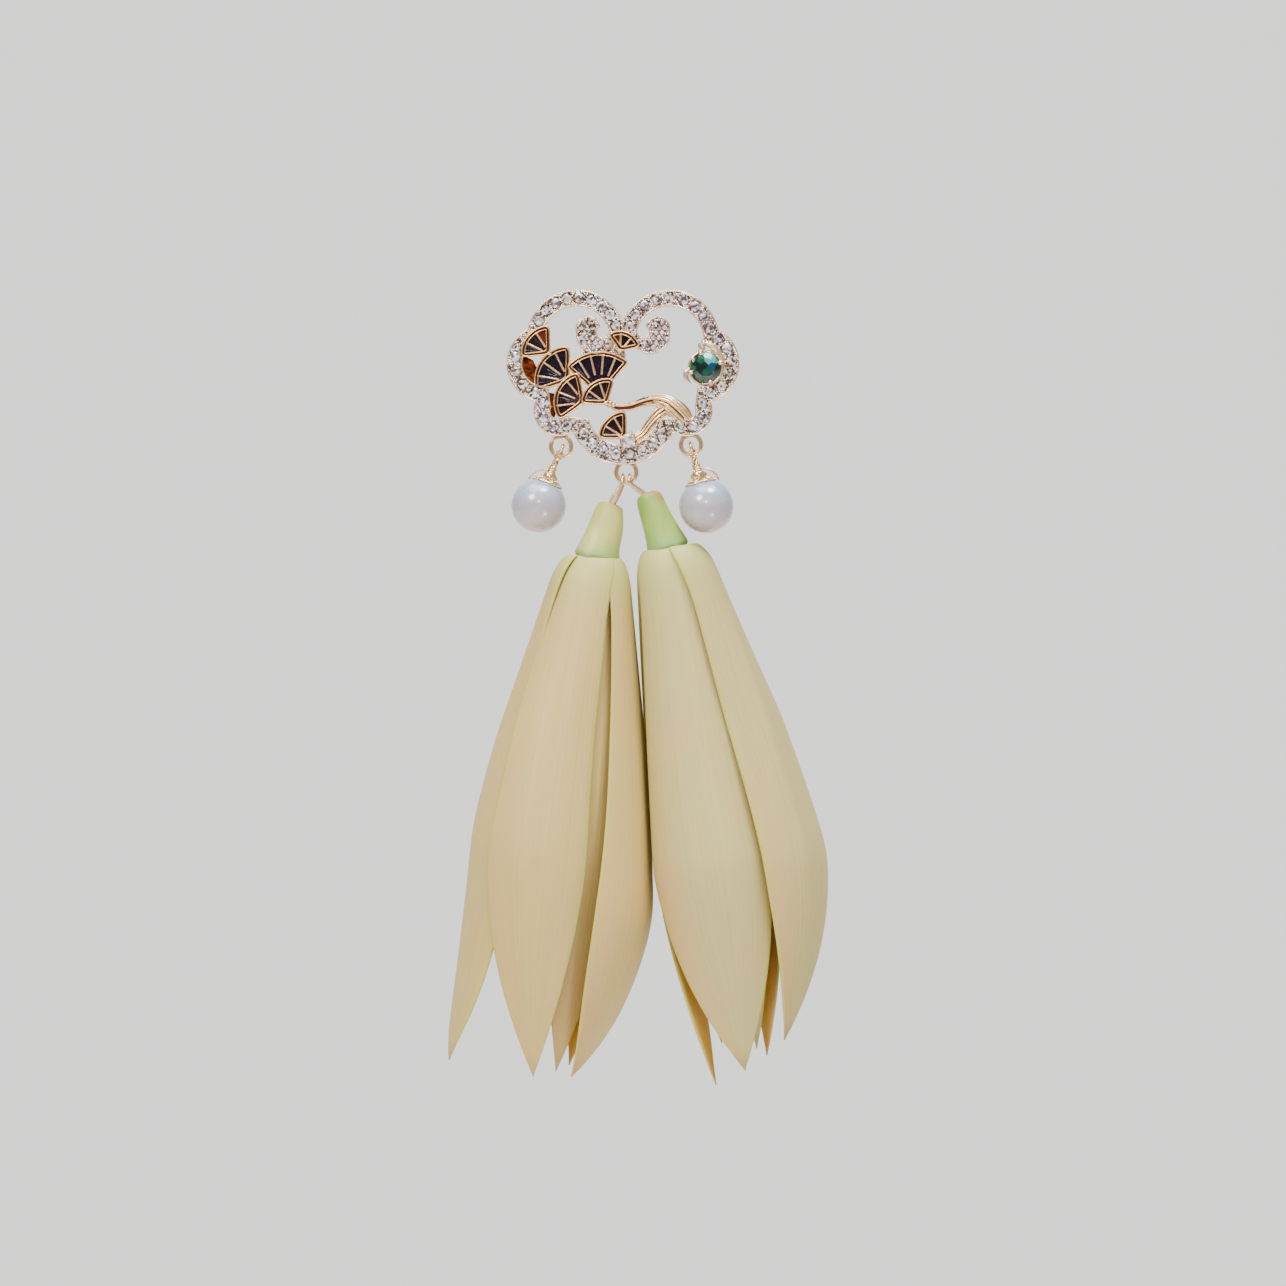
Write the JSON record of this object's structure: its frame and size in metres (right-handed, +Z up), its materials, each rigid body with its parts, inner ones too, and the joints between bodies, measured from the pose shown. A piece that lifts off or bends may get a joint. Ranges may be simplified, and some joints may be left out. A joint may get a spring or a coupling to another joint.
{
  "type": "peace lock brooch",
  "caption": "Openwork ruyi-cloud lock brooch with stone-set band, enamelled fans, pearl drops and two hanging champaca buds",
  "frame": {"origin": "middle of the pin behind the lock, where it goes through the garment", "axes": "+X to the right of the worn brooch as seen from the front, +Y into the garment, +Z up along its length"},
  "size_m": [0.038, 0.0133, 0.0797],
  "materials": {
    "gold": "polished",
    "gold_wire": "polished",
    "pin_gold": "satin",
    "clear_stone": "polished",
    "green_stone": "polished",
    "blue_enamel": "gloss",
    "plum_enamel": "gloss",
    "pearl": "gloss",
    "stem": "satin",
    "petal": "satin"
  },
  "bodies": {
    "lock": {"lock_frame": "gold", "band_stones": "clear_stone", "scroll_stones": "clear_stone", "fan_side_enamel": "plum_enamel", "fan_upper_enamel": "blue_enamel", "fan_large_enamel": "blue_enamel", "fan_lower_enamel": "plum_enamel", "fan_front_enamel": "plum_enamel", "fan_crown_enamel": "plum_enamel", "fan_foot_enamel": "plum_enamel", "green_stone": "green_stone", "white_stone": "clear_stone", "pin_back": "pin_gold", "left_pearl": "pearl", "left_pearl_cap": "gold_wire", "left_pearl_wire": "gold_wire", "right_pearl": "pearl", "right_pearl_cap": "gold_wire", "right_pearl_wire": "gold_wire"},
    "left_flower": {"left_hook": "gold_wire", "left_stem": "stem", "left_petal_front": "petal", "left_petal_right": "petal", "left_petal_back": "petal", "left_petal_left": "petal", "left_petal_rear": "petal", "left_petal_inner_front": "petal", "left_petal_inner_back": "petal", "left_petal_inner_left": "petal", "left_petal_core_front": "petal", "left_petal_core_back": "petal"},
    "right_flower": {"right_hook": "gold_wire", "right_stem": "stem", "right_petal_front": "petal", "right_petal_right": "petal", "right_petal_back": "petal", "right_petal_left": "petal", "right_petal_rear": "petal", "right_petal_inner_front": "petal", "right_petal_inner_back": "petal", "right_petal_inner_left": "petal", "right_petal_core_front": "petal", "right_petal_core_back": "petal"}
  },
  "joints": [
    {"name": "left_flower_swing", "type": "hinge", "parent": "lock", "child": "left_flower", "pos_m": [-0.00001, -0.0031, -0.0138], "axis": [1, 0, 0], "range_deg": [-75, 30]},
    {"name": "right_flower_swing", "type": "hinge", "parent": "lock", "child": "right_flower", "pos_m": [0.00067, -0.0031, -0.0138], "axis": [1, 0, 0], "range_deg": [-75, 30]}
  ]
}
